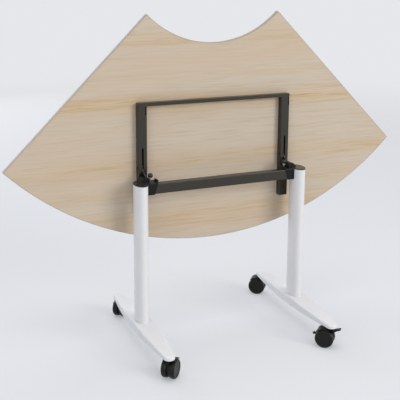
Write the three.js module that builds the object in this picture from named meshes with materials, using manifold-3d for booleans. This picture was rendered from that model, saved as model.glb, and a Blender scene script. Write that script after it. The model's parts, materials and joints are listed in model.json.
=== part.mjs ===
// Flip top training table with a quarter-ring top, shown stored with the top upright.
// Millimetres. X runs along the crossbeam, +Y away from the underside of the top, +Z up.
// The origin lies on the floor, midway between the columns.
import * as THREE from 'three';
import { mergeVertices } from 'three/addons/utils/BufferGeometryUtils.js';
import Module from 'manifold-3d';

const wasm = await Module();
wasm.setup();

// Gaps between pieces
const GAP = 0.3;
const RUNNING_FIT = 0.3;
const PRESS_GAP = 0.1;
const OVERSHOOT = 1;

// Top: a ring sector that stands in the XZ plane
const OUTER_RADIUS = 1200;
const INNER_RADIUS = 400;
const HALF_ANGLE = Math.PI / 4;
const ARC_CENTRE_Z = 1586;
const UNDERSIDE_Y = 84;
const TOP_THICKNESS = 20;
const BAND_THICKNESS = 2;
const OUTER_ARC_STEPS = 36;
const INNER_ARC_STEPS = 20;

// Rails
const RAIL_X = 313;
const RAIL_WIDTH = 37;
const RAIL_DEPTH = 26;
const RAIL_WALL = 2.5;
const RAIL_LIP = 8;
const RAIL_LOW_Z = 536;
const RAIL_HIGH_Z = 953.2;
const RAIL_CORNER = 4;
const SLOT_WIDTH = 7;
const SLOT_LOW_Z = 670.6;
const SLOT_HIGH_Z = 790;
const SLIT_WIDTH = 4;
const SLIT_LENGTH = 34;
const WEB_Y = UNDERSIDE_Y - RAIL_DEPTH;

// Hinge
const PIVOT_Y = 72;
const PIVOT_Z = 711.3;
const PIN_RADIUS = 4;
const PIN_HEAD_RADIUS = 6.5;
const PIN_HEAD_LENGTH = 2.2;
const HUB_RADIUS = 11;
const BLADE_THICKNESS = 5;
const BLADE_ARM_WIDTH = 16;
const BLADE_ARM_LENGTH = 44;
const BLADE_ARM_ANGLE = (240 * Math.PI) / 180;
const NOTCH_WIDTH = 6.6;
const NOTCH_DEPTH = 4;
const SPACER_RADIUS = 7;
const LUG_FRONT_Y = 27;
const LUG_LOW_Z = 664;
const BOLT_RADIUS = 3;
const BOLT_HEAD_RADIUS = 5.5;
const BOLT_HEAD_LENGTH = 4;
const BOLT_PLACES = [[34, 674], [46, 675]];

// Release bar with its rods and springs
const BAR_HEIGHT = 14;
const BAR_DEPTH = 24;
const BAR_WALL = 2;
const BAR_CORNER = 5;
const BAR_LOW_Z = RAIL_HIGH_Z + GAP;
const ROD_RADIUS = 4;
const COLLAR_RADIUS = 7;
const COLLAR_LENGTH = 4;
const COLLAR_TOP_Z = 900;
const NOSE_WIDTH = 5.2;
const NOSE_DEPTH = 6;
const NOSE_LENGTH = 16;
const SPRING_RADIUS = 6;
const SPRING_WIRE_RADIUS = 0.9;
const SPRING_TURNS = 6;
const SPRING_STEPS_PER_TURN = 8;
const SPRING_SIDES = 4;

// Screws that hold the rails
const RAIL_SCREW_RADIUS = 2;
const RAIL_SCREW_HEAD_RADIUS = 3.6;
const RAIL_SCREW_HEAD_LENGTH = 2.6;
const RAIL_SCREW_LENGTH = 14;
const RAIL_SCREW_INSET = 18;

// Columns, caps and crossbeam
const COLUMN_X = 344;
const COLUMN_HALF_X = 26;
const COLUMN_HALF_Y = 44;
const COLUMN_WALL = 2.5;
const COLUMN_LOW_Z = 112;
const COLUMN_HIGH_Z = 664;
const CAP_OVERHANG = 1;
const CAP_HEIGHT = 4;
const CAP_PLUG_DEPTH = 14;
const ELLIPSE_STEPS = 32;
const BEAM_HALF_LENGTH = 300;
const BEAM_HEIGHT = 40;
const BEAM_DEPTH = 30;
const BEAM_WALL = 2;
const BEAM_LOW_Z = 624;

// Hinge brackets
const BRACKET_INNER_X = 285;
const BRACKET_OUTER_X = 330;
const BRACKET_FRONT_Y = -17;
const BRACKET_BACK_Y = 38;
const BRACKET_LOW_Z = 621;
const BRACKET_HIGH_Z = 668;
const BRACKET_CORNER = 4;
const HEAD_INNER_X = 305;
const HEAD_OUTER_X = 343;
const HEAD_FRONT_Y = 6;
const HEAD_BACK_Y = 50;
const HEAD_HIGH_Z = 684;
const EAR_INNER_X = 282;
const EAR_OUTER_X = 288;
const EAR_FRONT_Y = -10;
const EAR_BACK_Y = 22;
const EAR_HIGH_Z = 677;

// Stops
const STOP_X = 294.5;
const STOP_Y = 26;
const STOP_TOP_Z = 697;
const STOP_SCREW_RADIUS = 3;
const STOP_HEAD_RADIUS = 10;
const STOP_HEAD_HEIGHT = 16;

// Feet: lens-shaped in plan, with round tips
const FOOT_HALF_WIDTH = 40;
const FOOT_TIP_RADIUS = 22;
const FOOT_TIP_Y = 292;
const FOOT_BELLY_HALF = 262;
const FOOT_BELLY_Z = 78;
const FOOT_LOW_Z = 85;
const FOOT_END_Z = 99;
const FOOT_FLAT_HALF = 48;
const FOOT_ARC_STEPS = 5;
const FOOT_BOW_STEPS = 5;

// Casters, in a frame whose Z axis is the swivel axis and whose X axis points along the trail
const CASTER_Y = 286;
const TRAIL = 20;
const WHEEL_RADIUS = 37.5;
const WHEEL_INNER_FACE = 5.5;
const WHEEL_OUTER_FACE = 26.5;
const WHEEL_STEPS = 24;
const AXLE_RADIUS = 4;
const AXLE_HALF_LENGTH = 20.6;
const HOOD_WEB_HALF = 4.4;
const HOOD_WEB_RADIUS = 30;
const FENDER_INNER = 38.6;
const FENDER_OUTER = 41.6;
const FENDER_HALF_WIDTH = 24;
const FENDER_START = (45 * Math.PI) / 180;
const NUB_ANGLE = (14 * Math.PI) / 180;
const FENDER_END = (118 * Math.PI) / 180;
const BOSS_RADIUS = 11;
const BOSS_LOW_Z = 75.5;
const STEM_RADIUS = 5.5;
const STEM_TAIL_RADIUS = 3.2;
const STEM_SOCKET_DEPTH = 12;
const STEM_STEP_Z = 78;
const STEM_LOW_Z = 58;
const LEVER_PIVOT = [-12, 68];
const LEVER_HUB_RADIUS = 4.3;
const LEVER_PIN_RADIUS = 2;
const LEVER_HALF_WIDTH = 10;
const LEVER_SLOT_HALF = 4.9;
const LEVER_TIP = [-41, 80];
const NUB_REACH = 46;
const NUB_ARM_HALF = 2.5;
const NUB_RADIUS = 3.5;
const NUB_HALF_WIDTH = 7;
const ROUND_STEPS = 10;
const DISC_STEPS = 24;
const CORNER_STEPS = 3;

const WOOD = { color: 0xc9baa4, roughness: 0.55, metalness: 0 };
const EDGING = { color: 0xb2aaa2, roughness: 0.5, metalness: 0 };
const DARK_STEEL = { color: 0x3e3b37, roughness: 0.45, metalness: 0.3 };
const BRIGHT_STEEL = { color: 0xc4c6c8, roughness: 0.3, metalness: 0.9 };
const WHITE_PAINT = { color: 0xdcdde0, roughness: 0.4, metalness: 0 };
const BLACK_PLASTIC = { color: 0x1d1d1f, roughness: 0.4, metalness: 0 };
const BLACK_RUBBER = { color: 0x242323, roughness: 0.7, metalness: 0 };

const table = new THREE.Group();

function addPiece(name, geometry, look, parent = table) {
  const mesh = new THREE.Mesh(geometry, new THREE.MeshStandardMaterial(look));
  mesh.name = name;
  parent.add(mesh);
}

// Booleans on closed meshes

function positionsOnly(geometry) {
  const bare = geometry.index ? geometry.clone() : geometry;
  bare.deleteAttribute('normal');
  bare.deleteAttribute('uv');
  return mergeVertices(bare, 1e-4);
}

function solid(geometry) {
  const merged = positionsOnly(geometry);
  const vertProperties = new Float32Array(merged.attributes.position.array);
  const triVerts = new Uint32Array(merged.index.array);
  return new wasm.Manifold(new wasm.Mesh({ numProp: 3, vertProperties, triVerts }));
}

function toGeometry(body) {
  const mesh = body.getMesh();
  const geometry = new THREE.BufferGeometry();
  geometry.setAttribute('position', new THREE.BufferAttribute(new Float32Array(mesh.vertProperties), 3));
  geometry.setIndex(new THREE.BufferAttribute(new Uint32Array(mesh.triVerts), 1));
  return geometry;
}

function join(...geometries) {
  return toGeometry(geometries.map(solid).reduce((sum, next) => sum.add(next)));
}

function cut(geometry, ...tools) {
  return toGeometry(tools.map(solid).reduce((rest, tool) => rest.subtract(tool), solid(geometry)));
}

function common(first, second) {
  return toGeometry(solid(first).intersect(solid(second)));
}

// Basic solids placed by their limits

function box(low, high) {
  const size = high.map((value, axis) => value - low[axis]);
  const geometry = new THREE.BoxGeometry(...size);
  return geometry.translate(...low.map((value, axis) => value + size[axis] / 2));
}

// A shape drawn in (y, z) and pushed along X.
function prismX(shape, x0, x1) {
  const geometry = new THREE.ExtrudeGeometry(shape, { depth: Math.abs(x1 - x0), bevelEnabled: false });
  geometry.applyMatrix4(new THREE.Matrix4().set(0, 0, 1, 0, 1, 0, 0, 0, 0, 1, 0, 0, 0, 0, 0, 1));
  return geometry.translate(Math.min(x0, x1), 0, 0);
}

// A shape drawn in (x, z) and pushed along Y.
function prismY(shape, y0, y1) {
  const geometry = new THREE.ExtrudeGeometry(shape, { depth: y1 - y0, bevelEnabled: false });
  return geometry.rotateX(Math.PI / 2).translate(0, y1, 0);
}

// A shape drawn in (x, y) and pushed along Z.
function prismZ(shape, z0, z1) {
  const geometry = new THREE.ExtrudeGeometry(shape, { depth: z1 - z0, bevelEnabled: false });
  return geometry.translate(0, 0, z0);
}

function rodX(radius, x0, x1, y, z) {
  const geometry = new THREE.CylinderGeometry(radius, radius, Math.abs(x1 - x0), ROUND_STEPS);
  return geometry.rotateZ(Math.PI / 2).translate((x0 + x1) / 2, y, z);
}

function rodY(radius, y0, y1, x, z) {
  const geometry = new THREE.CylinderGeometry(radius, radius, y1 - y0, ROUND_STEPS);
  return geometry.translate(x, (y0 + y1) / 2, z);
}

function rodZ(radius, z0, z1, x, y) {
  const geometry = new THREE.CylinderGeometry(radius, radius, z1 - z0, ROUND_STEPS);
  return geometry.rotateX(Math.PI / 2).translate(x, y, (z0 + z1) / 2);
}

function polygon(points) {
  return new THREE.Shape(points.map(([u, v]) => new THREE.Vector2(u, v)));
}

// A drawn outline as straight steps, with no point twice.
function facetedShape(outline, steps) {
  const points = outline.getPoints(steps);
  return new THREE.Shape(points.filter((point, i) => point.distanceTo(points.at(i - 1)) > 1e-6));
}

function roundedRectangle(u0, u1, v0, v1, radius) {
  const shape = new THREE.Shape();
  shape.absarc(u1 - radius, v0 + radius, radius, -Math.PI / 2, 0);
  shape.absarc(u1 - radius, v1 - radius, radius, 0, Math.PI / 2);
  shape.absarc(u0 + radius, v1 - radius, radius, Math.PI / 2, Math.PI);
  shape.absarc(u0 + radius, v0 + radius, radius, Math.PI, 1.5 * Math.PI);
  return facetedShape(shape, CORNER_STEPS);
}

// A polygon whose corners are rounded off over the given length of each side.
function softPolygon(points, length) {
  const shape = new THREE.Shape();
  const towards = (corner, [u, v]) => (
    new THREE.Vector2(u, v).sub(corner).setLength(length).add(corner));
  points.forEach(([u, v], i) => {
    const corner = new THREE.Vector2(u, v);
    const before = towards(corner, points.at(i - 1));
    const after = towards(corner, points[(i + 1) % points.length]);
    if (i === 0) {
      shape.moveTo(before.x, before.y);
    } else {
      shape.lineTo(before.x, before.y);
    }
    shape.quadraticCurveTo(u, v, after.x, after.y);
  });
  return facetedShape(shape, CORNER_STEPS);
}

function ellipse(x, y, halfX, halfY) {
  const points = [];
  for (let i = 0; i < ELLIPSE_STEPS; i += 1) {
    const angle = (2 * Math.PI * i) / ELLIPSE_STEPS;
    points.push([x + halfX * Math.cos(angle), y + halfY * Math.sin(angle)]);
  }
  return polygon(points);
}

// Top

// Outline of the ring sector in (x, z), drawn in by a margin on every edge.
function sectorPoints(margin) {
  const points = [];
  const arc = (radius, steps, fromSide) => {
    const reach = HALF_ANGLE - Math.asin(margin / radius);
    for (let i = 0; i <= steps; i += 1) {
      const angle = fromSide * reach * (1 - (2 * i) / steps);
      points.push([radius * Math.sin(angle), ARC_CENTRE_Z - radius * Math.cos(angle)]);
    }
  };
  arc(OUTER_RADIUS - margin, OUTER_ARC_STEPS, -1);
  arc(INNER_RADIUS + margin, INNER_ARC_STEPS, 1);
  return points;
}

function railScrewPlaces(side) {
  const lipCentre = RAIL_WIDTH / 2 - RAIL_WALL - RAIL_LIP / 2;
  return [
    ['lower', side * (RAIL_X - lipCentre), RAIL_LOW_Z + RAIL_SCREW_INSET],
    ['upper', side * (RAIL_X + lipCentre), RAIL_HIGH_Z - RAIL_SCREW_INSET],
  ];
}

function makeTop() {
  const screwHoles = [-1, 1].flatMap((side) => railScrewPlaces(side).map(([, x, z]) => {
    const depth = RAIL_SCREW_LENGTH - RAIL_WALL + GAP;
    return rodY(RAIL_SCREW_RADIUS + PRESS_GAP, UNDERSIDE_Y - OVERSHOOT, UNDERSIDE_Y + depth, x, z);
  }));
  const core = sectorPoints(BAND_THICKNESS);
  const board = prismY(polygon(core), UNDERSIDE_Y, UNDERSIDE_Y + TOP_THICKNESS);
  addPiece('table_top', cut(board, ...screwHoles), WOOD);

  const band = polygon(sectorPoints(0));
  band.holes.push(new THREE.Path(core.map(([x, z]) => new THREE.Vector2(x, z))));
  addPiece('edge_band', prismY(band, UNDERSIDE_Y, UNDERSIDE_Y + TOP_THICKNESS), EDGING);
}

// Rails: lipped channels with the web toward -Y, open toward the board, with a plate on the top end

function makeRail(name, side) {
  const middle = side * RAIL_X;
  const left = middle - RAIL_WIDTH / 2;
  const right = middle + RAIL_WIDTH / 2;
  const section = new THREE.Shape();
  section.moveTo(right, UNDERSIDE_Y);
  section.lineTo(left, UNDERSIDE_Y);
  section.lineTo(left, WEB_Y + RAIL_CORNER);
  section.quadraticCurveTo(left, WEB_Y, left + RAIL_CORNER, WEB_Y);
  section.lineTo(right - RAIL_CORNER, WEB_Y);
  section.quadraticCurveTo(right, WEB_Y, right, WEB_Y + RAIL_CORNER);
  const outer = new THREE.Shape(section.getPoints(4));
  const plateLow = RAIL_HIGH_Z - RAIL_WALL;
  const below = RAIL_LOW_Z - OVERSHOOT;
  const lipInner = RAIL_WIDTH / 2 - RAIL_WALL - RAIL_LIP;
  const slitRight = right - RAIL_WALL;
  const rail = cut(
    prismZ(outer, RAIL_LOW_Z, RAIL_HIGH_Z),
    box([left + RAIL_WALL, WEB_Y + RAIL_WALL, below], [right - RAIL_WALL, UNDERSIDE_Y - RAIL_WALL, plateLow]),
    box([middle - lipInner, PIVOT_Y, below], [middle + lipInner, UNDERSIDE_Y + OVERSHOOT, plateLow]),
    box([middle - SLOT_WIDTH / 2, WEB_Y - OVERSHOOT, SLOT_LOW_Z],
      [middle + SLOT_WIDTH / 2, PIVOT_Y, SLOT_HIGH_Z]),
    box([slitRight - SLIT_WIDTH, WEB_Y - OVERSHOOT, RAIL_HIGH_Z - SLIT_LENGTH],
      [slitRight, PIVOT_Y, RAIL_HIGH_Z + OVERSHOOT]),
    rodX(PIN_RADIUS + PRESS_GAP, left - OVERSHOOT, right + OVERSHOOT, PIVOT_Y, PIVOT_Z),
    rodZ(ROD_RADIUS + RUNNING_FIT, plateLow - OVERSHOOT, RAIL_HIGH_Z + OVERSHOOT, middle, PIVOT_Y),
    ...railScrewPlaces(side).map(([, x, z]) => (
      rodY(RAIL_SCREW_RADIUS + PRESS_GAP, PIVOT_Y, UNDERSIDE_Y + OVERSHOOT, x, z))),
  );
  addPiece(`${name}_rail`, rail, DARK_STEEL);

  const lipInside = UNDERSIDE_Y - RAIL_WALL;
  for (const [end, x, z] of railScrewPlaces(side)) {
    const head = rodY(RAIL_SCREW_HEAD_RADIUS, lipInside - RAIL_SCREW_HEAD_LENGTH, lipInside, x, z);
    const shank = rodY(RAIL_SCREW_RADIUS, lipInside - OVERSHOOT, lipInside + RAIL_SCREW_LENGTH, x, z);
    addPiece(`${name}_${end}_rail_screw`, join(head, shank), BRIGHT_STEEL);
  }
}

// Hinge: a pin fixed in the rail turns in the hub of a blade that the bracket holds

function makeHinge(name, side) {
  const inner = side * (RAIL_X - RAIL_WIDTH / 2 - PRESS_GAP);
  const outer = side * (RAIL_X + RAIL_WIDTH / 2 + PRESS_GAP);
  const headed = (x) => {
    const outward = Math.sign(x - side * RAIL_X) * PIN_HEAD_LENGTH;
    return rodX(PIN_HEAD_RADIUS, x, x + outward, PIVOT_Y, PIVOT_Z);
  };
  const shank = rodX(PIN_RADIUS, inner - side * OVERSHOOT, outer + side * OVERSHOOT, PIVOT_Y, PIVOT_Z);
  addPiece(`${name}_hinge_pin`, join(shank, headed(inner), headed(outer)), BRIGHT_STEEL);

  const wallReach = RAIL_WIDTH / 2 - RAIL_WALL - GAP;
  const bladeReach = BLADE_THICKNESS / 2 + GAP;
  for (const [place, out] of [['inner', -side], ['outer', side]]) {
    const near = side * RAIL_X + out * bladeReach;
    const far = side * RAIL_X + out * wallReach;
    const spacer = cut(
      rodX(SPACER_RADIUS, near, far, PIVOT_Y, PIVOT_Z),
      rodX(PIN_RADIUS + PRESS_GAP, near - out * OVERSHOOT, far + out * OVERSHOOT, PIVOT_Y, PIVOT_Z),
    );
    addPiece(`${name}_${place}_hinge_spacer`, spacer, BLACK_PLASTIC);
  }

  const along = [Math.cos(BLADE_ARM_ANGLE), Math.sin(BLADE_ARM_ANGLE)];
  const across = [-along[1] * (BLADE_ARM_WIDTH / 2), along[0] * (BLADE_ARM_WIDTH / 2)];
  const armPoint = (t, sign) => [
    PIVOT_Y + along[0] * t + sign * across[0],
    PIVOT_Z + along[1] * t + sign * across[1],
  ];
  const armEnd = BLADE_ARM_LENGTH;
  const arm = polygon([armPoint(0, 1), armPoint(0, -1), armPoint(armEnd, -1), armPoint(armEnd, 1)]);
  const lug = polygon([
    [LUG_FRONT_Y, LUG_LOW_Z],
    [50, LUG_LOW_Z],
    [56, LUG_LOW_Z + 7],
    [57, LUG_LOW_Z + 30],
    [51, LUG_LOW_Z + 35],
    [44, LUG_LOW_Z + 31],
    [LUG_FRONT_Y, LUG_LOW_Z + 20],
  ]);
  const x0 = side * RAIL_X - BLADE_THICKNESS / 2;
  const x1 = side * RAIL_X + BLADE_THICKNESS / 2;
  const plate = join(rodX(HUB_RADIUS, x0, x1, PIVOT_Y, PIVOT_Z), prismX(arm, x0, x1), prismX(lug, x0, x1));
  const notchEnd = PIVOT_Y - HUB_RADIUS + NOTCH_DEPTH;
  const notch = box(
    [x0 - OVERSHOOT, notchEnd - HUB_RADIUS, PIVOT_Z - NOTCH_WIDTH / 2],
    [x1 + OVERSHOOT, notchEnd, PIVOT_Z + NOTCH_WIDTH / 2],
  );
  const blade = cut(
    plate,
    notch,
    rodX(PIN_RADIUS + RUNNING_FIT, x0 - OVERSHOOT, x1 + OVERSHOOT, PIVOT_Y, PIVOT_Z),
    ...BOLT_PLACES.map(([y, z]) => rodX(BOLT_RADIUS + PRESS_GAP, x0 - OVERSHOOT, x1 + OVERSHOOT, y, z)),
  );
  addPiece(`${name}_hinge_blade`, blade, BLACK_PLASTIC);

  BOLT_PLACES.forEach(([y, z], index) => {
    const seat = side * (HEAD_INNER_X - PRESS_GAP);
    const end = side * (RAIL_X + BLADE_THICKNESS / 2);
    const head = rodX(BOLT_HEAD_RADIUS, seat - side * BOLT_HEAD_LENGTH, seat, y, z);
    const bolt = join(head, rodX(BOLT_RADIUS, seat - side * OVERSHOOT, end, y, z));
    addPiece(`${name}_blade_bolt_${index + 1}`, bolt, BRIGHT_STEEL);
  });
}

// Bracket: a block with a pocket for the beam and a saddle against the column, with a head that reaches
// over the column's cap and holds the blade in a recess, and an ear that lies on the beam

function makeBracket(name, side) {
  const lowZ = BRACKET_LOW_Z;
  const beamHigh = BEAM_LOW_Z + BEAM_HEIGHT;
  const block = prismX(
    softPolygon([
      [BRACKET_FRONT_Y, lowZ],
      [BRACKET_BACK_Y / 2, lowZ],
      [BRACKET_BACK_Y, lowZ + 24],
      [BRACKET_BACK_Y, BRACKET_HIGH_Z],
      [BRACKET_FRONT_Y, BRACKET_HIGH_Z],
    ], BRACKET_CORNER),
    side * BRACKET_INNER_X,
    side * BRACKET_OUTER_X,
  );
  const capTop = COLUMN_HIGH_Z + CAP_HEIGHT + GAP;
  const headOutline = [
    [HEAD_INNER_X, lowZ + 39],
    [HEAD_INNER_X, HEAD_HIGH_Z],
    [HEAD_OUTER_X - 16, HEAD_HIGH_Z],
    [HEAD_OUTER_X, capTop],
    [BRACKET_OUTER_X, lowZ + 39],
  ].map(([x, z]) => [side * x, z]);
  const head = prismY(softPolygon(headOutline, 3), HEAD_FRONT_Y, HEAD_BACK_Y);
  const sides = (near, far) => [Math.min(side * near, side * far), Math.max(side * near, side * far)];
  const [earX0, earX1] = sides(EAR_INNER_X, EAR_OUTER_X);
  const ear = box([earX0, EAR_FRONT_Y, beamHigh + GAP], [earX1, EAR_BACK_Y, EAR_HIGH_Z]);
  const [pocketX0, pocketX1] = sides(BRACKET_INNER_X - OVERSHOOT, BEAM_HALF_LENGTH + GAP);
  const pocket = box(
    [pocketX0, -BEAM_DEPTH / 2 - PRESS_GAP, BEAM_LOW_Z - PRESS_GAP],
    [pocketX1, BEAM_DEPTH / 2 + PRESS_GAP, beamHigh + PRESS_GAP],
  );
  const bladeReach = BLADE_THICKNESS / 2 + GAP;
  const [recessX0, recessX1] = sides(RAIL_X - bladeReach, RAIL_X + bladeReach);
  const recess = box(
    [recessX0, LUG_FRONT_Y - GAP, LUG_LOW_Z - GAP],
    [recessX1, HEAD_BACK_Y + OVERSHOOT, HEAD_HIGH_Z + OVERSHOOT],
  );
  const columnRoom = ellipse(side * COLUMN_X, 0, COLUMN_HALF_X + GAP, COLUMN_HALF_Y + GAP);
  const capMargin = CAP_OVERHANG + GAP;
  const capRoom = ellipse(side * COLUMN_X, 0, COLUMN_HALF_X + capMargin, COLUMN_HALF_Y + capMargin);
  const boltLow = side * (HEAD_INNER_X - OVERSHOOT);
  const boltHigh = side * (RAIL_X - bladeReach + OVERSHOOT);
  const screwTop = BRACKET_HIGH_Z + OVERSHOOT;
  const bracket = cut(
    join(block, head, ear),
    pocket,
    recess,
    prismZ(columnRoom, lowZ - OVERSHOOT, COLUMN_HIGH_Z),
    prismZ(capRoom, COLUMN_HIGH_Z - GAP, capTop),
    rodZ(STOP_SCREW_RADIUS + PRESS_GAP, beamHigh - OVERSHOOT, screwTop, side * STOP_X, STOP_Y),
    ...BOLT_PLACES.map(([y, z]) => rodX(BOLT_RADIUS + PRESS_GAP, boltLow, boltHigh, y, z)),
  );
  addPiece(`${name}_bracket`, bracket, BLACK_PLASTIC);
}

// Stop: a round rubber head on a screw that stands on the bracket

function makeStop(name, side) {
  const screwLow = BEAM_LOW_Z + BEAM_HEIGHT + PRESS_GAP;
  const headLow = STOP_TOP_Z - STOP_HEAD_HEIGHT;
  const screwHigh = headLow + STOP_HEAD_HEIGHT / 2;
  const screw = rodZ(STOP_SCREW_RADIUS, screwLow, screwHigh, side * STOP_X, STOP_Y);
  addPiece(`${name}_stop_screw`, screw, BRIGHT_STEEL);
  const head = new THREE.LatheGeometry([
    new THREE.Vector2(0, screwHigh + GAP),
    new THREE.Vector2(STOP_SCREW_RADIUS + PRESS_GAP, screwHigh + GAP),
    new THREE.Vector2(STOP_SCREW_RADIUS + PRESS_GAP, headLow),
    new THREE.Vector2(STOP_HEAD_RADIUS - 2, headLow),
    new THREE.Vector2(STOP_HEAD_RADIUS, headLow + 4),
    new THREE.Vector2(STOP_HEAD_RADIUS, STOP_TOP_Z - 6),
    new THREE.Vector2(STOP_HEAD_RADIUS - 1.5, STOP_TOP_Z - 2.5),
    new THREE.Vector2(STOP_HEAD_RADIUS - 4, STOP_TOP_Z),
    new THREE.Vector2(0, STOP_TOP_Z),
  ], ROUND_STEPS);
  head.rotateX(Math.PI / 2).translate(side * STOP_X, STOP_Y, 0);
  addPiece(`${name}_stop_buffer`, head, BLACK_RUBBER);
}

// Release bar: a channel open toward the board, with a latch rod and a spring in each rail

function springGeometry(x, y, z0, z1) {
  const count = SPRING_TURNS * SPRING_STEPS_PER_TURN;
  const lift = SPRING_WIRE_RADIUS + PRESS_GAP;
  const positions = [];
  const index = [];
  for (let i = 0; i <= count; i += 1) {
    const turn = (2 * Math.PI * i) / SPRING_STEPS_PER_TURN;
    const z = z0 + lift + ((z1 - z0 - 2 * lift) * i) / count;
    for (let j = 0; j < SPRING_SIDES; j += 1) {
      const around = (2 * Math.PI * j) / SPRING_SIDES;
      const radius = SPRING_RADIUS + SPRING_WIRE_RADIUS * Math.cos(around);
      const rise = SPRING_WIRE_RADIUS * Math.sin(around);
      positions.push(x + radius * Math.cos(turn), y + radius * Math.sin(turn), z + rise);
    }
  }
  for (let i = 0; i < count; i += 1) {
    for (let j = 0; j < SPRING_SIDES; j += 1) {
      const a = i * SPRING_SIDES + j;
      const b = i * SPRING_SIDES + ((j + 1) % SPRING_SIDES);
      index.push(a, a + SPRING_SIDES, b, b, a + SPRING_SIDES, b + SPRING_SIDES);
    }
  }
  const last = count * SPRING_SIDES;
  for (let j = 1; j < SPRING_SIDES - 1; j += 1) {
    index.push(0, j, j + 1, last, last + j + 1, last + j);
  }
  const geometry = new THREE.BufferGeometry();
  geometry.setAttribute('position', new THREE.Float32BufferAttribute(positions, 3));
  geometry.setIndex(index);
  return geometry;
}

function makeRelease() {
  const reach = RAIL_X + RAIL_WIDTH / 2;
  const barHigh = BAR_LOW_Z + BAR_HEIGHT;
  const outer = roundedRectangle(-reach, reach, BAR_LOW_Z, barHigh, BAR_CORNER);
  const inside = box(
    [-reach + BAR_WALL, WEB_Y + BAR_WALL, BAR_LOW_Z + BAR_WALL],
    [reach - BAR_WALL, UNDERSIDE_Y, barHigh - BAR_WALL],
  );
  const holeHigh = BAR_LOW_Z + BAR_WALL + OVERSHOOT;
  const rodHoles = [-1, 1].map((side) => (
    rodZ(ROD_RADIUS + PRESS_GAP, BAR_LOW_Z - OVERSHOOT, holeHigh, side * RAIL_X, PIVOT_Y)));
  addPiece('release_bar', cut(prismY(outer, WEB_Y, WEB_Y + BAR_DEPTH), inside, ...rodHoles), DARK_STEEL);

  for (const [name, side] of [['left', -1], ['right', 1]]) {
    const x = side * RAIL_X;
    const noseLow = PIVOT_Z + HUB_RADIUS + GAP;
    const nose = box(
      [x - NOSE_WIDTH / 2, PIVOT_Y - NOSE_DEPTH / 2, noseLow],
      [x + NOSE_WIDTH / 2, PIVOT_Y + NOSE_DEPTH / 2, noseLow + NOSE_LENGTH],
    );
    const rodHigh = barHigh - BAR_WALL - PRESS_GAP;
    const rod = rodZ(ROD_RADIUS, noseLow + NOSE_LENGTH - OVERSHOOT, rodHigh, x, PIVOT_Y);
    const collar = rodZ(COLLAR_RADIUS, COLLAR_TOP_Z - COLLAR_LENGTH, COLLAR_TOP_Z, x, PIVOT_Y);
    addPiece(`${name}_latch_rod`, join(nose, rod, collar), BRIGHT_STEEL);
    const spring = springGeometry(x, PIVOT_Y, COLLAR_TOP_Z, RAIL_HIGH_Z - RAIL_WALL);
    addPiece(`${name}_return_spring`, spring, BRIGHT_STEEL);
  }
}

// Columns, caps, crossbeam and feet

function makeLeg(name, side) {
  const x = side * COLUMN_X;
  const tube = ellipse(x, 0, COLUMN_HALF_X, COLUMN_HALF_Y);
  tube.holes.push(ellipse(x, 0, COLUMN_HALF_X - COLUMN_WALL, COLUMN_HALF_Y - COLUMN_WALL));
  addPiece(`${name}_column`, prismZ(tube, COLUMN_LOW_Z, COLUMN_HIGH_Z), WHITE_PAINT);

  const plugMargin = COLUMN_WALL + PRESS_GAP;
  const plug = ellipse(x, 0, COLUMN_HALF_X - plugMargin, COLUMN_HALF_Y - plugMargin);
  const hollow = ellipse(x, 0, COLUMN_HALF_X - 2 * plugMargin, COLUMN_HALF_Y - 2 * plugMargin);
  const lid = ellipse(x, 0, COLUMN_HALF_X + CAP_OVERHANG, COLUMN_HALF_Y + CAP_OVERHANG);
  const plugLow = COLUMN_HIGH_Z - CAP_PLUG_DEPTH;
  const cap = cut(
    join(
      prismZ(lid, COLUMN_HIGH_Z, COLUMN_HIGH_Z + CAP_HEIGHT),
      prismZ(plug, plugLow, COLUMN_HIGH_Z + OVERSHOOT),
    ),
    prismZ(hollow, plugLow - OVERSHOOT, COLUMN_HIGH_Z),
  );
  addPiece(`${name}_cap`, cap, BLACK_PLASTIC);

  addPiece(`${name}_foot`, footGeometry(x), WHITE_PAINT);
}

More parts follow.
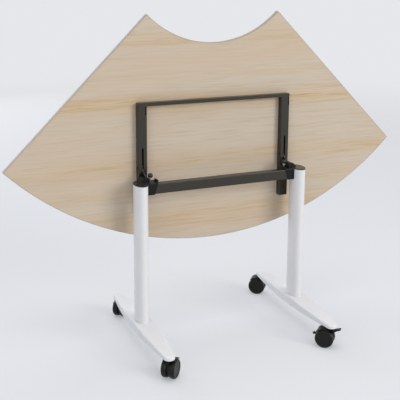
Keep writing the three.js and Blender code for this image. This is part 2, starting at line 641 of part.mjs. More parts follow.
function footGeometry(x) {
  const flankRadius = (FOOT_TIP_Y ** 2 + FOOT_HALF_WIDTH ** 2 - FOOT_TIP_RADIUS ** 2)
    / (2 * (FOOT_HALF_WIDTH - FOOT_TIP_RADIUS));
  const flankAngle = Math.asin(FOOT_TIP_Y / (flankRadius - FOOT_TIP_RADIUS));
  const flankCentre = flankRadius - FOOT_HALF_WIDTH;
  const plan = new THREE.Shape();
  plan.absarc(x - flankCentre, 0, flankRadius, -flankAngle, flankAngle);
  plan.absarc(x, FOOT_TIP_Y, FOOT_TIP_RADIUS, flankAngle, Math.PI - flankAngle);
  plan.absarc(x + flankCentre, 0, flankRadius, Math.PI - flankAngle, Math.PI + flankAngle);
  plan.absarc(x, -FOOT_TIP_Y, FOOT_TIP_RADIUS, Math.PI + flankAngle, 2 * Math.PI - flankAngle);
  const tip = FOOT_TIP_Y + FOOT_TIP_RADIUS + OVERSHOOT;
  const bow = (COLUMN_LOW_Z + FOOT_END_Z) / 2 + 2.5;
  const profile = new THREE.Shape();
  profile.moveTo(-tip, FOOT_LOW_Z);
  profile.lineTo(-FOOT_BELLY_HALF, FOOT_LOW_Z);
  profile.quadraticCurveTo(-FOOT_BELLY_HALF / 2, FOOT_BELLY_Z, 0, FOOT_BELLY_Z);
  profile.quadraticCurveTo(FOOT_BELLY_HALF / 2, FOOT_BELLY_Z, FOOT_BELLY_HALF, FOOT_LOW_Z);
  profile.lineTo(tip, FOOT_LOW_Z);
  profile.lineTo(tip, FOOT_END_Z);
  profile.quadraticCurveTo((tip + FOOT_FLAT_HALF) / 2, bow, FOOT_FLAT_HALF, COLUMN_LOW_Z);
  profile.lineTo(-FOOT_FLAT_HALF, COLUMN_LOW_Z);
  profile.quadraticCurveTo(-(tip + FOOT_FLAT_HALF) / 2, bow, -tip, FOOT_END_Z);
  const reach = FOOT_HALF_WIDTH + OVERSHOOT;
  const body = common(
    prismZ(facetedShape(plan, FOOT_ARC_STEPS), FOOT_BELLY_Z - OVERSHOOT, COLUMN_LOW_Z + OVERSHOOT),
    prismX(facetedShape(profile, FOOT_BOW_STEPS), x - reach, x + reach),
  );
  const sockets = [-1, 1].map((end) => rodZ(
    STEM_RADIUS + RUNNING_FIT,
    FOOT_LOW_Z - OVERSHOOT,
    FOOT_LOW_Z + STEM_SOCKET_DEPTH + GAP,
    x,
    end * CASTER_Y,
  ));
  return cut(body, ...sockets);
}

function makeCrossbeam() {
  const high = BEAM_LOW_Z + BEAM_HEIGHT;
  const half = BEAM_DEPTH / 2;
  const section = roundedRectangle(-half, half, BEAM_LOW_Z, high, 3);
  const inside = half - BEAM_WALL;
  const hole = roundedRectangle(-inside, inside, BEAM_LOW_Z + BEAM_WALL, high - BEAM_WALL, 1.5);
  section.holes.push(hole);
  addPiece('crossbeam', prismX(section, -BEAM_HALF_LENGTH, BEAM_HALF_LENGTH), DARK_STEEL);
}

// Casters with two wheels under a hood

function wheelGeometry(sign) {
  const bore = AXLE_RADIUS + RUNNING_FIT;
  const boreEnd = AXLE_HALF_LENGTH + GAP;
  const profile = [
    [0, WHEEL_OUTER_FACE - 1.8],
    [29, WHEEL_OUTER_FACE - 1.8],
    [30.5, WHEEL_OUTER_FACE],
    [33.5, WHEEL_OUTER_FACE - 0.4],
    [36.4, WHEEL_OUTER_FACE - 3.4],
    [WHEEL_RADIUS, WHEEL_OUTER_FACE - 9],
    [35.4, WHEEL_INNER_FACE],
    [bore, WHEEL_INNER_FACE],
    [bore, boreEnd],
    [0, boreEnd],
  ].map(([radius, width]) => new THREE.Vector2(radius, width));
  const geometry = new THREE.LatheGeometry(profile.reverse(), WHEEL_STEPS);
  return geometry.rotateX(sign > 0 ? 0 : Math.PI).translate(TRAIL, 0, WHEEL_RADIUS);
}

function arcSector(centre, inner, outer, start, end) {
  const shape = new THREE.Shape();
  shape.absarc(centre[0], centre[1], outer, start, end);
  shape.absarc(centre[0], centre[1], inner, end, start, true);
  return new THREE.Shape(shape.getPoints(7));
}

function hoodGeometry(braked) {
  const axle = [TRAIL, WHEEL_RADIUS];
  const bossHigh = FOOT_LOW_Z - GAP;
  const webWidth = 2 * HOOD_WEB_HALF;
  const webDisc = new THREE.CylinderGeometry(HOOD_WEB_RADIUS, HOOD_WEB_RADIUS, webWidth, DISC_STEPS);
  webDisc.translate(axle[0], 0, axle[1]);
  const webStart = braked ? NUB_ANGLE : FENDER_START;
  const webReach = FENDER_OUTER - OVERSHOOT;
  const spread = arcSector(axle, HOOD_WEB_RADIUS - OVERSHOOT, webReach, webStart, FENDER_END);
  const neck = polygon([[-10, 62], [0, 50], [20, 60], [14, bossHigh - 4], [-10, bossHigh - 4]]);
  const fender = arcSector(axle, FENDER_INNER, FENDER_OUTER, FENDER_START, FENDER_END);
  const pieces = [
    webDisc,
    prismY(spread, -HOOD_WEB_HALF, HOOD_WEB_HALF),
    prismY(neck, -HOOD_WEB_HALF, HOOD_WEB_HALF),
    prismY(fender, -FENDER_HALF_WIDTH, FENDER_HALF_WIDTH),
    rodZ(BOSS_RADIUS, BOSS_LOW_Z, bossHigh, 0, 0),
  ];
  if (braked) {
    const nubPoint = (reach, across) => [
      axle[0] + reach * Math.cos(NUB_ANGLE) - across * Math.sin(NUB_ANGLE),
      axle[1] + reach * Math.sin(NUB_ANGLE) + across * Math.cos(NUB_ANGLE),
    ];
    const arm = polygon([
      nubPoint(FENDER_INNER, -NUB_ARM_HALF),
      nubPoint(NUB_REACH, -NUB_ARM_HALF),
      nubPoint(NUB_REACH, NUB_ARM_HALF),
      nubPoint(FENDER_INNER, NUB_ARM_HALF),
    ]);
    pieces.push(
      rodY(LEVER_HUB_RADIUS, -HOOD_WEB_HALF, HOOD_WEB_HALF, ...LEVER_PIVOT),
      rodY(LEVER_PIN_RADIUS, -LEVER_HALF_WIDTH, LEVER_HALF_WIDTH, ...LEVER_PIVOT),
      prismY(arm, -HOOD_WEB_HALF, HOOD_WEB_HALF),
      rodY(NUB_RADIUS, -NUB_HALF_WIDTH, NUB_HALF_WIDTH, ...nubPoint(NUB_REACH, 0)),
    );
  }
  return cut(
    join(...pieces),
    rodY(AXLE_RADIUS + PRESS_GAP, -HOOD_WEB_HALF - OVERSHOOT, HOOD_WEB_HALF + OVERSHOOT, ...axle),
    rodZ(STEM_TAIL_RADIUS + PRESS_GAP, STEM_LOW_Z - GAP, bossHigh, 0, 0),
    rodZ(STEM_RADIUS + PRESS_GAP, STEM_STEP_Z - PRESS_GAP, bossHigh + OVERSHOOT, 0, 0),
  );
}

function leverGeometry() {
  const [pivotX, pivotZ] = LEVER_PIVOT;
  const [tipX, tipZ] = LEVER_TIP;
  const tongue = new THREE.Shape();
  tongue.moveTo(pivotX, pivotZ + LEVER_HUB_RADIUS);
  tongue.quadraticCurveTo(pivotX - 12, pivotZ + 9, tipX, tipZ + 1.6);
  tongue.lineTo(tipX - 1, tipZ);
  tongue.lineTo(tipX, tipZ - 1.8);
  tongue.quadraticCurveTo(pivotX - 12, pivotZ + 5, pivotX - 5, pivotZ - 3);
  tongue.lineTo(pivotX - 4, pivotZ - 8.5);
  tongue.lineTo(pivotX - 0.5, pivotZ - 8.5);
  tongue.lineTo(pivotX + 2.5, pivotZ - 3);
  const profile = new THREE.Shape(tongue.getPoints(6));
  const pinReach = LEVER_HALF_WIDTH + OVERSHOOT;
  return cut(
    join(
      prismY(profile, -LEVER_HALF_WIDTH, LEVER_HALF_WIDTH),
      rodY(LEVER_HUB_RADIUS, -LEVER_HALF_WIDTH, LEVER_HALF_WIDTH, pivotX, pivotZ),
    ),
    box([pivotX - 8, -LEVER_SLOT_HALF, pivotZ - 12], [pivotX + 8, LEVER_SLOT_HALF, pivotZ + 12]),
    rodY(LEVER_PIN_RADIUS + RUNNING_FIT, -pinReach, pinReach, pivotX, pivotZ),
  );
}

function makeCaster(name, x, y, restAngle, braked) {
  const caster = new THREE.Group();
  caster.position.set(x, y, 0);
  caster.rotation.z = (restAngle * Math.PI) / 180;
  table.add(caster);
  const stem = join(
    rodZ(STEM_TAIL_RADIUS, STEM_LOW_Z, STEM_STEP_Z + OVERSHOOT, 0, 0),
    rodZ(STEM_RADIUS, STEM_STEP_Z, FOOT_LOW_Z + STEM_SOCKET_DEPTH, 0, 0),
  );
  addPiece(`${name}_stem`, stem, BRIGHT_STEEL, caster);
  addPiece(`${name}_hood`, hoodGeometry(braked), BLACK_PLASTIC, caster);
  const axle = rodY(AXLE_RADIUS, -AXLE_HALF_LENGTH, AXLE_HALF_LENGTH, TRAIL, WHEEL_RADIUS);
  addPiece(`${name}_axle`, axle, BRIGHT_STEEL, caster);
  addPiece(`${name}_wheel_a`, wheelGeometry(1), BLACK_RUBBER, caster);
  addPiece(`${name}_wheel_b`, wheelGeometry(-1), BLACK_RUBBER, caster);
  if (braked) {
    addPiece(`${name}_brake_lever`, leverGeometry(), BLACK_PLASTIC, caster);
  }
}

makeTop();
makeRelease();
makeCrossbeam();
for (const [name, side] of [['left', -1], ['right', 1]]) {
  makeRail(name, side);
  makeHinge(name, side);
  makeBracket(name, side);
  makeStop(name, side);
  makeLeg(name, side);
}
makeCaster('left_near_caster', -COLUMN_X, -CASTER_Y, 46, false);
makeCaster('left_far_caster', -COLUMN_X, CASTER_Y, 46, true);
makeCaster('right_near_caster', COLUMN_X, -CASTER_Y, 136, true);
makeCaster('right_far_caster', COLUMN_X, CASTER_Y, 140, false);

export default table;
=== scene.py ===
"""Looks of the flip top training table: materials, fine pieces, studio and camera, in metres."""
import json
import math

import bmesh
import bpy
from mathutils import Matrix, Vector


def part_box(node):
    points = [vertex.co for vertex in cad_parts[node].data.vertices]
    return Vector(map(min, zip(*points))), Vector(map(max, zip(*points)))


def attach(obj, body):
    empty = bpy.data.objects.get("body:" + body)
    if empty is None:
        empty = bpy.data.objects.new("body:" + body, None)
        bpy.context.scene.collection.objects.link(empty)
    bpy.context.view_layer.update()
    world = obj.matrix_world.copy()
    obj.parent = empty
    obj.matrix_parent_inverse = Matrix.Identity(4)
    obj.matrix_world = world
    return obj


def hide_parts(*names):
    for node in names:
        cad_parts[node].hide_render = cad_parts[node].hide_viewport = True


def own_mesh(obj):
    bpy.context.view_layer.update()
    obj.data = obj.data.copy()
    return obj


# Camera, as fitted to the photograph's outlines
CAMERA_PLACE = (-1.3328, -2.7851, 1.4884)
CAMERA_TURN = 22.169
CAMERA_PITCH = 11.278
CAMERA_LENS = 72.10
CAMERA_SHIFT = (0.06, -0.19)
SENSOR_WIDTH = 36.0
FAR_CLIP = 100.0

# Colours, linear
BACKDROP = (0.79, 0.80, 0.83)
FLOOR = (0.708, 0.728, 0.768)
FLOOR_GLOW = 0.36
OAK = (0.562, 0.472, 0.370)
OAK_LIGHT = (0.588, 0.502, 0.404)
OAK_LINE = (0.520, 0.416, 0.305)
OAK_ROSE = (0.572, 0.448, 0.330)
OAK_WARM = (0.562, 0.416, 0.250)
OAK_STREAK = (0.460, 0.292, 0.150)
# Edge band: its own greyish tone, darkened further with painted shade of the board's edges
EDGE_TONE_AND_SHADE = (0.350, 0.306, 0.270)
DARK_STEEL = (0.0195, 0.0155, 0.0085)
BLACK_STEEL = (0.010, 0.010, 0.010)
BLACK_CASTING = (0.0055, 0.0055, 0.0060)
BLACK_PLASTIC = (0.009, 0.009, 0.009)
CAP_PLASTIC = (0.022, 0.019, 0.018)
WHEEL_PLASTIC = (0.0100, 0.0096, 0.0088)
RUBBER = (0.008, 0.008, 0.008)
WHITE_PAINT = (0.757, 0.757, 0.772)
WHITE_FOOT = (0.752, 0.757, 0.785)
BRIGHT_STEEL = (0.80, 0.805, 0.82)

# Light of the world, and the floor's finish and reach
WORLD_COLOR = (0.95, 0.97, 1.0)
WORLD_STRENGTH = 0.475
FLOOR_ROUGHNESS = 0.9
FLOOR_SPECULAR = 0.1
FLOOR_RADIUS = 14.0
FLOOR_STEPS = 96
FADE_START = 1.5
FADE_END = 8.0

# Lamps: name, place, target, size, power and colour
PLAIN_LIGHT = (1.0, 1.0, 1.0)
KEY_LIGHT = (1.0, 0.96, 0.895)
LAMPS = (
    ("key", (5.5, -7.7, 3.95), (0.0, 0.0, 0.75), (4.4, 4.4), 440.0, KEY_LIGHT),
    ("fill", (-3.6, -3.0, 2.2), (0.0, 0.0, 0.7), (3.0, 3.0), 34.0, PLAIN_LIGHT),
    ("top", (0.0, 0.3, 5.5), (0.0, 0.3, 0.0), (5.0, 5.0), 145.0, PLAIN_LIGHT),
    ("back", (-1.2, 6.0, 1.7), (0.0, 0.0, 0.85), (4.0, 2.6), 80.0, PLAIN_LIGHT),
)

# Scales along X, Y and Z of the noises in the oak print
LINE_SCALE = (5.5, 20.0, 150.0)
ZONE_SCALE = (0.9, 1.0, 7.5)
WANDER_SCALE = (1.6, 1.0, 9.0)
STREAK_SCALE = (4.0, 30.0, 135.0)
FIBRE_SCALE = (6.0, 60.0, 420.0)

# Finish of the oak print: darkest fibre and its share, range of roughness, shine and grain
FIBRE_SHADE = (0.88, 0.87, 0.86)
FIBRE_SHARE = 0.6
OAK_ROUGHNESS = (0.46, 0.60)
OAK_SPECULAR = 0.35
OAK_GRAIN = 0.2

# Finish of bright steel: turning marks, how dark they get, range of roughness and grain
MARK_SCALE = (900.0, 900.0, 260.0)
MARK_SHADE = 0.82
MARK_ROUGHNESS = (0.34, 0.50)
MARK_GRAIN = 0.1
MARK_DEPTH = 0.0001

# Finish of all other skins: scale of the cloudiness, spread of roughness and depth of grain
CLOUD_SCALE = 7.0
ROUGHNESS_SPREAD = 0.06
GRAIN_DEPTH = 0.0002

# Most values of a noise lie between these
NOISE_LOW = 0.3
NOISE_HIGH = 0.7

# Warm bands of the oak print: height of the middle, half width and strength
BAND_WANDER = 0.05
BOARD_LOW = 0.386
BOARD_HIGH = 1.304
WARM_BANDS = (
    (0.480, 0.075, 0.60),
    (0.600, 0.042, 0.40),
    (0.715, 0.048, 0.70),
    (0.955, 0.048, 1.0),
    (1.062, 0.022, 0.30),
    (1.215, 0.050, 0.60),
)

# Radius of the rounding on each kind of node
ROUNDING = {
    "bracket": 0.0016,
    "cap": 0.0014,
    "stop_buffer": 0.0012,
    "crossbeam": 0.0010,
    "hinge_blade": 0.0004,
    "rail_screw": 0.0003,
    "return_spring": 0.0,
}
PLAIN_ROUNDING = 0.0007
ROUND_SEGMENTS = 2
SHARP_ANGLE = 34.0
FLAT_ANGLE = 0.5
WELD = 1e-6

# The feet, with the sizes that the solids have
FOOT_HALF_WIDTH = 0.040
FOOT_TIP_RADIUS = 0.022
FOOT_TIP_Y = 0.292
FOOT_BELLY_HALF = 0.262
FOOT_BELLY_Z = 0.078
FOOT_LOW_Z = 0.085
FOOT_END_Z = 0.099
FOOT_TOP_Z = 0.112
FOOT_FLAT_HALF = 0.048
FOOT_BOW = 0.0025
FOOT_SHOULDER = 0.006
FOOT_UNDER = 0.003
FOOT_ROUND_STEPS = 6
FOOT_TIP_STEPS = 12
FOOT_SIDE_STEPS = 48
SOCKET_Y = 0.286
SOCKET_RADIUS = 0.0058
SOCKET_TOP_Z = 0.0973
SOCKET_STEPS = 24

# Blocks of the hinge brackets: their inner faces lean in at the top and draw back at the bottom
BLOCK_INNER_X = 0.285
BLOCK_FIXED_X = 0.312
BLOCK_LOW_Z = 0.621
BLOCK_HIGH_Z = 0.668
BLOCK_TAPER = 0.007
BLOCK_FACE_X = 0.2892
BLOCK_LEAN = 0.008

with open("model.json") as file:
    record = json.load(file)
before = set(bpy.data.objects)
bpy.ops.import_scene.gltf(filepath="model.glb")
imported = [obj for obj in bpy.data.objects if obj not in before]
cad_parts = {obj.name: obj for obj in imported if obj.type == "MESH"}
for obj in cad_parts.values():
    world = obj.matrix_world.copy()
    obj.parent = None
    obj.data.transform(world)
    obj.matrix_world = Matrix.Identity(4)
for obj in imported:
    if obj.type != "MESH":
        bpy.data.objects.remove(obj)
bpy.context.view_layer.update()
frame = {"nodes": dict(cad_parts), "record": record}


# Node helpers


def new_material(name):
    material = bpy.data.materials.new(name)
    material.use_nodes = True
    tree = material.node_tree
    tree.nodes.clear()
    output = tree.nodes.new("ShaderNodeOutputMaterial")
    shader = tree.nodes.new("ShaderNodeBsdfPrincipled")
    tree.links.new(shader.outputs["BSDF"], output.inputs["Surface"])
    return material, tree, shader


def coordinates(tree, scale=(1.0, 1.0, 1.0)):
    source = tree.nodes.new("ShaderNodeTexCoord")
    mapping = tree.nodes.new("ShaderNodeMapping")
    mapping.inputs["Scale"].default_value = scale
    tree.links.new(source.outputs["Object"], mapping.inputs["Vector"])
    return mapping.outputs["Vector"]


def noise(tree, vector, scale=1.0, detail=3.0, roughness=0.55, distortion=0.0):
    node = tree.nodes.new("ShaderNodeTexNoise")
    node.inputs["Scale"].default_value = scale
    node.inputs["Detail"].default_value = detail
    node.inputs["Roughness"].default_value = roughness
    node.inputs["Distortion"].default_value = distortion
    tree.links.new(vector, node.inputs["Vector"])
    return node.outputs["Fac"]


def ramp(tree, value, stops):
    node = tree.nodes.new("ShaderNodeValToRGB")
    while len(node.color_ramp.elements) < len(stops):
        node.color_ramp.elements.new(0.5)
    for element, (place, color) in zip(node.color_ramp.elements, stops):
        element.position = place
        element.color = (*color, 1.0)
    tree.links.new(value, node.inputs["Fac"])
    return node.outputs["Color"]


def spread(tree, value, low, high):
    node = tree.nodes.new("ShaderNodeMapRange")
    node.inputs["To Min"].default_value = low
    node.inputs["To Max"].default_value = high
    tree.links.new(value, node.inputs["Value"])
    return node.outputs["Result"]


def mix(tree, factor, first, second, blend="MIX"):
    node = tree.nodes.new("ShaderNodeMix")
    node.data_type = "RGBA"
    node.blend_type = blend
    if isinstance(factor, float):
        node.inputs["Factor"].default_value = factor
    else:
        tree.links.new(factor, node.inputs["Factor"])
    for value, socket in ((first, node.inputs["A"]), (second, node.inputs["B"])):
        if isinstance(value, tuple):
            socket.default_value = (*value, 1.0)
        else:
            tree.links.new(value, socket)
    return node.outputs["Result"]


def add_bump(tree, shader, height, strength, distance):
    node = tree.nodes.new("ShaderNodeBump")
    node.inputs["Strength"].default_value = strength
    node.inputs["Distance"].default_value = distance
    tree.links.new(height, node.inputs["Height"])
    tree.links.new(node.outputs["Normal"], shader.inputs["Normal"])


def combine(tree, operation, first, second):
    """A math node on a socket and on a second socket or a number."""
    node = tree.nodes.new("ShaderNodeMath")
    node.operation = operation
    tree.links.new(first, node.inputs[0])
    if isinstance(second, float):
        node.inputs[1].default_value = second
    else:
        tree.links.new(second, node.inputs[1])
    return node.outputs[0]


def blend_shaders(tree, factor, first, second):
    node = tree.nodes.new("ShaderNodeMixShader")
    tree.links.new(factor, node.inputs["Fac"])
    tree.links.new(first, node.inputs[1])
    tree.links.new(second, node.inputs[2])
    return node.outputs[0]


def grey(level):
    return (level, level, level)


# Materials


def band_stops():
    """Stops of a grey ramp over the board's height, one peak for each warm band."""
    stops = []
    for middle, half, strength in WARM_BANDS:
        for height, level in ((middle - half, 0.0), (middle, strength), (middle + half, 0.0)):
            place = (height - BOARD_LOW) / (BOARD_HIGH - BOARD_LOW)
            stops.append((place, grey(level)))
    return stops


def warm_bands(tree):
    """Strength of the warm bands at each height of the board, with wandering edges."""
    wander = noise(tree, coordinates(tree, WANDER_SCALE), roughness=0.5)
    height = tree.nodes.new("ShaderNodeSeparateXYZ")
    tree.links.new(coordinates(tree), height.inputs[0])
    shifted = tree.nodes.new("ShaderNodeMath")
    shifted.operation = "MULTIPLY_ADD"
    shifted.inputs[1].default_value = BAND_WANDER
    tree.links.new(wander, shifted.inputs[0])
    tree.links.new(height.outputs["Z"], shifted.inputs[2])
    place = tree.nodes.new("ShaderNodeMapRange")
    place.inputs["From Min"].default_value = BOARD_LOW + BAND_WANDER / 2
    place.inputs["From Max"].default_value = BOARD_HIGH + BAND_WANDER / 2
    tree.links.new(shifted.outputs[0], place.inputs["Value"])
    return ramp(tree, place.outputs["Result"], band_stops())


def oak_print(name):
    """Pale oak melamine: fine straight lines along X, with a few warm streaky bands."""
    material, tree, shader = new_material(name)
    lines = noise(tree, coordinates(tree, LINE_SCALE), detail=5.0, roughness=0.68)
    color = ramp(tree, lines, [(0.30, OAK_LINE), (0.46, OAK), (0.60, OAK_LIGHT), (0.76, OAK)])
    zone = noise(tree, coordinates(tree, ZONE_SCALE), roughness=0.5)
    rosy = ramp(tree, zone, [(0.46, grey(0.0)), (0.68, grey(0.7))])
    color = mix(tree, rosy, color, OAK_ROSE)
    bands = warm_bands(tree)
    stretched = coordinates(tree, STREAK_SCALE)
    streaks = noise(tree, stretched, detail=5.0, roughness=0.66, distortion=0.6)
    soft = ramp(tree, streaks, [(0.36, grey(0.15)), (0.56, grey(1.0))])
    color = mix(tree, mix(tree, 1.0, bands, soft, "MULTIPLY"), color, OAK_WARM)
    thin = ramp(tree, streaks, [(0.53, grey(0.0)), (0.63, grey(0.8))])
    color = mix(tree, mix(tree, 1.0, bands, thin, "MULTIPLY"), color, OAK_STREAK)
    fibres = noise(tree, coordinates(tree, FIBRE_SCALE), detail=4.0, roughness=0.65)
    shade = ramp(tree, fibres, [(0.30, FIBRE_SHADE), (0.62, grey(1.0))])
    color = mix(tree, FIBRE_SHARE, color, shade, "MULTIPLY")
    tree.links.new(color, shader.inputs["Base Color"])
    tree.links.new(spread(tree, fibres, *OAK_ROUGHNESS), shader.inputs["Roughness"])
    shader.inputs["Specular IOR Level"].default_value = OAK_SPECULAR
    add_bump(tree, shader, fibres, OAK_GRAIN, GRAIN_DEPTH)
    return material


def coated(name, color, rough, grain_scale, grain, variation=0.06, specular=0.5):
    """A painted or moulded skin: faint cloudiness, and a fine orange-peel or moulded grain."""
    material, tree, shader = new_material(name)
    cloud = noise(tree, coordinates(tree), CLOUD_SCALE)
    low = tuple(c * (1 - variation) for c in color)
    high = tuple(min(1.0, c * (1 + variation)) for c in color)
    cloudy = ramp(tree, cloud, [(NOISE_LOW, low), (NOISE_HIGH, high)])
    tree.links.new(cloudy, shader.inputs["Base Color"])
    fine = noise(tree, coordinates(tree), grain_scale, detail=2.0)
    roughness = spread(tree, fine, rough - ROUGHNESS_SPREAD, rough + ROUGHNESS_SPREAD)
    tree.links.new(roughness, shader.inputs["Roughness"])
    shader.inputs["Specular IOR Level"].default_value = specular
    add_bump(tree, shader, fine, grain, GRAIN_DEPTH)
    return material


def bright_metal(name):
    """Zinc-plated steel with fine turning marks."""
    material, tree, shader = new_material(name)
    marks = noise(tree, coordinates(tree, MARK_SCALE))
    low = tuple(c * MARK_SHADE for c in BRIGHT_STEEL)
    color = ramp(tree, marks, [(NOISE_LOW, low), (NOISE_HIGH, BRIGHT_STEEL)])
    tree.links.new(color, shader.inputs["Base Color"])
    tree.links.new(spread(tree, marks, *MARK_ROUGHNESS), shader.inputs["Roughness"])
    shader.inputs["Metallic"].default_value = 1.0
    add_bump(tree, shader, marks, MARK_GRAIN, MARK_DEPTH)
    return material


# Look of each slot. A coated one: name, colour, roughness, scale and strength of grain, variation
LOOKS = {
    "board": oak_print("oak_print"),
    # The edge band's colour is partly its own tone and partly painted shade on the board's edges
    "edging": coated("edge_band_with_painted_shade", EDGE_TONE_AND_SHADE, 0.5, 900.0, 0.10, 0.05),
    "dark_steel": coated("bronze_grey_powder_coat", DARK_STEEL, 0.30, 1300.0, 0.20, 0.05),
    "black_steel": coated("black_powder_coat", BLACK_STEEL, 0.42, 1300.0, 0.22),
    "black_casting": coated(
        "black_painted_casting", BLACK_CASTING, 0.36, 700.0, 0.2, specular=0.20
    ),
    "bright_steel": bright_metal("zinc_plated_steel"),
    "white_tube": coated("white_powder_coat", WHITE_PAINT, 0.40, 1100.0, 0.16, 0.015),
    "white_casting": coated(
        "white_coated_casting", WHITE_FOOT, 0.58, 900.0, 0.18, 0.02, specular=0.3
    ),
    "black_plastic": coated(
        "black_moulded_plastic", BLACK_PLASTIC, 0.40, 1500.0, 0.18, specular=0.14
    ),
    "black_rubber": coated("black_rubber", RUBBER, 0.26, 1200.0, 0.2),
    "wheel_plastic": coated(
        "black_wheel_plastic", WHEEL_PLASTIC, 0.36, 1400.0, 0.2, specular=0.20
    ),
}
# The caps of the columns shine more than the other plastic pieces
CAP_LOOK = coated("black_gloss_plastic", CAP_PLASTIC, 0.24, 1500.0, 0.12, specular=0.40)

# Slot and body of each node, from the record
SLOT_OF = {entry["node"]: entry["material_slot"] for entry in frame["record"]["subparts"]}
BODY_OF = {
    node: body
    for body, nodes in frame["record"]["behaviour"]["bodies"].items()
    for node in nodes
}


# Pieces


def plain_object(mesh, name):
    data = bpy.data.meshes.new(name)
    mesh.to_mesh(data)
    mesh.free()
    piece = bpy.data.objects.new(name, data)
    bpy.context.scene.collection.objects.link(piece)
    return piece


def stand_for(piece, node):
    """Gives a piece the look, body and slot of the node that it replaces."""
    piece.data.materials.clear()
    piece.data.materials.append(CAP_LOOK if node.endswith("cap") else LOOKS[SLOT_OF[node]])
    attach(piece, BODY_OF[node])
    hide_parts(node)
    return piece


def finish_mesh(mesh, node):
    """A smooth-shaded piece that stands for a node."""
    piece = plain_object(mesh, node + "_rounded")
    data = piece.data
    data.polygons.foreach_set("use_smooth", [True] * len(data.polygons))
    data.set_sharp_from_angle(angle=math.radians(SHARP_ANGLE))
    weighted = piece.modifiers.new("normals", "WEIGHTED_NORMAL")
    weighted.keep_sharp = True
    return stand_for(piece, node)


def merged_mesh(node):
    """The CAD node with its flat faces merged."""
    mesh = bmesh.new()
    mesh.from_mesh(frame["nodes"][node].data)
    bmesh.ops.remove_doubles(mesh, verts=mesh.verts, dist=WELD)
    bmesh.ops.dissolve_limit(
        mesh,
        angle_limit=math.radians(FLAT_ANGLE),
        verts=mesh.verts,
        edges=mesh.edges,
    )
    return mesh


def round_edges(mesh, width):
    """Rounds the sharp edges, and welds the corners where a rounding had no room."""
    limit = math.radians(SHARP_ANGLE)
    sharp = [e for e in mesh.edges if e.is_manifold and e.calc_face_angle() > limit]
    bmesh.ops.bevel(
        mesh,
        geom=sharp,
        offset=width,
        offset_type="OFFSET",
        segments=ROUND_SEGMENTS,
        profile=0.5,
        affect="EDGES",
        clamp_overlap=True,
    )
    bmesh.ops.dissolve_degenerate(mesh, dist=WELD, edges=mesh.edges)
    bmesh.ops.remove_doubles(mesh, verts=mesh.verts, dist=WELD)


def slant_block(mesh):
    """Slants the inner face of a bracket's block: inward at the top, back at the bottom."""
    for vert in mesh.verts:
        start_x = vert.co.x
        across = (BLOCK_FIXED_X - abs(start_x)) / (BLOCK_FIXED_X - BLOCK_INNER_X)
        down = (BLOCK_HIGH_Z - vert.co.z) / (BLOCK_HIGH_Z - BLOCK_LOW_Z)
        if across > 0 and down > 0:
            vert.co.x += math.copysign(BLOCK_TAPER * min(1.0, across) * down, vert.co.x)
        if abs(start_x) < BLOCK_FACE_X and down < 1:
            vert.co.x -= math.copysign(BLOCK_LEAN * min(1.0, 1 - down), start_x)


def rounded_copy(node):
    mesh = merged_mesh(node)
    if node.endswith("bracket"):
        slant_block(mesh)
    widths = (width for ending, width in ROUNDING.items() if node.endswith(ending))
    width = next(widths, PLAIN_ROUNDING)
    if width > 0:
        round_edges(mesh, width)
    return finish_mesh(mesh, node)


def foot_top(y):
    """Height of a foot's top: level under the column, then bowed down to the tips."""
    reach = FOOT_TIP_Y + FOOT_TIP_RADIUS
    part = min(1.0, (reach - abs(y)) / (reach - FOOT_FLAT_HALF))
    bow = (FOOT_TOP_Z + FOOT_END_Z) / 2 + FOOT_BOW
    return (1 - part) ** 2 * FOOT_END_Z + 2 * part * (1 - part) * bow + part**2 * FOOT_TOP_Z


def foot_low(y):
    """Height of a foot's underside: level at the tips, then bellied down to the middle."""
    part = min(1.0, abs(y) / FOOT_BELLY_HALF)
    return part**2 * FOOT_LOW_Z + (1 - part**2) * FOOT_BELLY_Z


def foot_outline():
    """Right half of a foot's plan from tip to tip: points with their outward directions."""
    half = FOOT_HALF_WIDTH
    radius = (FOOT_TIP_Y**2 + half**2 - FOOT_TIP_RADIUS**2) / (2 * (half - FOOT_TIP_RADIUS))
    turn = math.asin(FOOT_TIP_Y / (radius - FOOT_TIP_RADIUS))
    arcs = (
        (0.0, FOOT_TIP_Y, FOOT_TIP_RADIUS, math.pi / 2, turn, FOOT_TIP_STEPS),
        (half - radius, 0.0, radius, turn, -turn, FOOT_SIDE_STEPS),
        (0.0, -FOOT_TIP_Y, FOOT_TIP_RADIUS, -turn, -math.pi / 2, FOOT_TIP_STEPS),
    )
    points = []
    for x, y, reach, start, end, steps in arcs:
        for step in range(steps):
            angle = start + (end - start) * step / steps
            across, along = math.cos(angle), math.sin(angle)
            points.append((x + reach * across, y + reach * along, across, along))
    points.append((0.0, -FOOT_TIP_Y - FOOT_TIP_RADIUS, 0.0, -1.0))
    return points


def foot_section(point):
    """Right half of one cross-section of a foot, from the underside round to the top."""
    x, y, across, along = point
    section = []
    for step in range(FOOT_ROUND_STEPS + 1):
        angle = math.pi / 2 * step / FOOT_ROUND_STEPS
        inset = FOOT_UNDER * (1 - math.sin(angle))
        low = foot_low(y - inset * along) + FOOT_UNDER * (1 - math.cos(angle))
        section.append((x - inset * across, y - inset * along, low))
    for step in range(FOOT_ROUND_STEPS + 1):
        angle = math.pi / 2 * step / FOOT_ROUND_STEPS
        inset = FOOT_SHOULDER * (1 - math.cos(angle))
        high = foot_top(y - inset * along) - FOOT_SHOULDER * (1 - math.sin(angle))
        section.append((x - inset * across, y - inset * along, high))
    return section


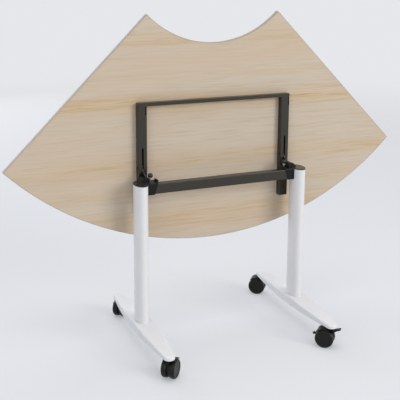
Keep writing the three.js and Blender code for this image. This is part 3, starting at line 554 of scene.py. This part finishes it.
def foot_body(middle):
    mesh = bmesh.new()
    rings = []
    for point in foot_outline():
        right = foot_section(point)
        ring = [mesh.verts.new((middle + x, y, z)) for x, y, z in right]
        ring += [mesh.verts.new((middle - x, y, z)) for x, y, z in reversed(right)]
        rings.append(ring)
    for first, second in zip(rings, rings[1:]):
        for k in range(len(first)):
            mesh.faces.new((first[k - 1], first[k], second[k], second[k - 1]))
    bmesh.ops.remove_doubles(mesh, verts=mesh.verts, dist=WELD)
    bmesh.ops.recalc_face_normals(mesh, faces=mesh.faces)
    return mesh


def socket_cutter(middle):
    mesh = bmesh.new()
    depth = SOCKET_TOP_Z - FOOT_BELLY_Z
    for y in (-SOCKET_Y, SOCKET_Y):
        place = Matrix.Translation((middle, y, SOCKET_TOP_Z - depth / 2))
        bmesh.ops.create_cone(
            mesh,
            cap_ends=True,
            segments=SOCKET_STEPS,
            radius1=SOCKET_RADIUS,
            radius2=SOCKET_RADIUS,
            depth=depth,
            matrix=place,
        )
    return mesh


def smooth_foot(node):
    """A foot with a full soft shoulder round its top, drilled for the caster stems."""
    low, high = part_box(node)
    middle = (low[0] + high[0]) / 2
    blank = plain_object(foot_body(middle), "foot_blank")
    cutter = plain_object(socket_cutter(middle), "foot_cutter")
    drill = blank.modifiers.new("sockets", "BOOLEAN")
    drill.operation = "DIFFERENCE"
    drill.solver = "EXACT"
    drill.object = cutter
    drilled = blank.evaluated_get(bpy.context.evaluated_depsgraph_get())
    mesh = bmesh.new()
    mesh.from_mesh(drilled.to_mesh())
    bpy.data.objects.remove(blank)
    bpy.data.objects.remove(cutter)
    finish_mesh(mesh, node)


def pressed_spring(node):
    """A return spring, copied as it is, with a mesh of its own."""
    piece = rounded_copy(node)
    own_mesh(piece)


for node in frame["nodes"]:
    if node.endswith("foot"):
        smooth_foot(node)
    elif node.endswith("return_spring"):
        pressed_spring(node)
    else:
        rounded_copy(node)


# Studio


def seen_rays(tree):
    """One for rays from the camera and for reflected or refracted ones, else zero."""
    path = tree.nodes.new("ShaderNodeLightPath")
    seen = path.outputs["Is Camera Ray"]
    for kind in ("Is Glossy Ray", "Is Transmission Ray"):
        seen = combine(tree, "MAXIMUM", seen, path.outputs[kind])
    return seen


def make_world():
    world = bpy.data.worlds.new("studio")
    bpy.context.scene.world = world
    world.use_nodes = True
    tree = world.node_tree
    tree.nodes.clear()
    output = tree.nodes.new("ShaderNodeOutputWorld")
    light = tree.nodes.new("ShaderNodeBackground")
    light.inputs["Color"].default_value = (*WORLD_COLOR, 1.0)
    light.inputs["Strength"].default_value = WORLD_STRENGTH
    seen = tree.nodes.new("ShaderNodeBackground")
    seen.inputs["Color"].default_value = (*BACKDROP, 1.0)
    seen.inputs["Strength"].default_value = 1.0
    blend = blend_shaders(tree, seen_rays(tree), light.outputs[0], seen.outputs[0])
    tree.links.new(blend, output.inputs["Surface"])


def floor_fade(tree):
    """Zero near the table and one far from it, so that the floor's edge doesn't show."""
    source = tree.nodes.new("ShaderNodeTexCoord")
    length = tree.nodes.new("ShaderNodeVectorMath")
    length.operation = "LENGTH"
    tree.links.new(source.outputs["Object"], length.inputs[0])
    fade = tree.nodes.new("ShaderNodeMapRange")
    fade.interpolation_type = "SMOOTHSTEP"
    fade.inputs["From Min"].default_value = FADE_START
    fade.inputs["From Max"].default_value = FADE_END
    tree.links.new(length.outputs["Value"], fade.inputs["Value"])
    return fade.outputs["Result"]


def floor_material():
    """Pale and partly lit by the backdrop's colour, clear far away and from below."""
    material, tree, shader = new_material("pale_floor")
    shader.inputs["Base Color"].default_value = (*FLOOR, 1.0)
    shader.inputs["Roughness"].default_value = FLOOR_ROUGHNESS
    shader.inputs["Specular IOR Level"].default_value = FLOOR_SPECULAR
    glow = tree.nodes.new("ShaderNodeEmission")
    glow.inputs["Color"].default_value = (*BACKDROP, 1.0)
    share = combine(tree, "MULTIPLY", seen_rays(tree), FLOOR_GLOW)
    pale = blend_shaders(tree, share, shader.outputs["BSDF"], glow.outputs[0])
    side = tree.nodes.new("ShaderNodeNewGeometry")
    unseen = combine(tree, "MAXIMUM", floor_fade(tree), side.outputs["Backfacing"])
    clear = tree.nodes.new("ShaderNodeBsdfTransparent")
    blend = blend_shaders(tree, unseen, pale, clear.outputs[0])
    output = next(n for n in tree.nodes if n.type == "OUTPUT_MATERIAL")
    tree.links.new(blend, output.inputs["Surface"])
    return material


def make_floor():
    mesh = bmesh.new()
    bmesh.ops.create_circle(mesh, cap_ends=True, segments=FLOOR_STEPS, radius=FLOOR_RADIUS)
    floor = plain_object(mesh, "floor")
    floor.data.materials.append(floor_material())


def make_lamp(name, place, target, size, power, color):
    data = bpy.data.lights.new(name, "AREA")
    data.shape = "RECTANGLE"
    data.size = size[0]
    data.size_y = size[1]
    data.energy = power
    data.color = color
    lamp = bpy.data.objects.new(name, data)
    lamp.location = place
    lamp.visible_camera = False
    aim = Vector(target) - Vector(place)
    lamp.rotation_euler = aim.to_track_quat("-Z", "Y").to_euler()
    bpy.context.scene.collection.objects.link(lamp)


def make_camera():
    data = bpy.data.cameras.new("camera")
    data.sensor_fit = "HORIZONTAL"
    data.sensor_width = SENSOR_WIDTH
    data.lens = CAMERA_LENS
    data.shift_x, data.shift_y = CAMERA_SHIFT
    data.clip_end = FAR_CLIP
    camera = bpy.data.objects.new("camera", data)
    camera.location = CAMERA_PLACE
    camera.rotation_euler = (math.radians(90 - CAMERA_PITCH), 0.0, math.radians(-CAMERA_TURN))
    bpy.context.scene.collection.objects.link(camera)
    bpy.context.scene.camera = camera


make_world()
make_floor()
for lamp in LAMPS:
    make_lamp(*lamp)
make_camera()
bpy.context.scene.view_settings.view_transform = "Standard"
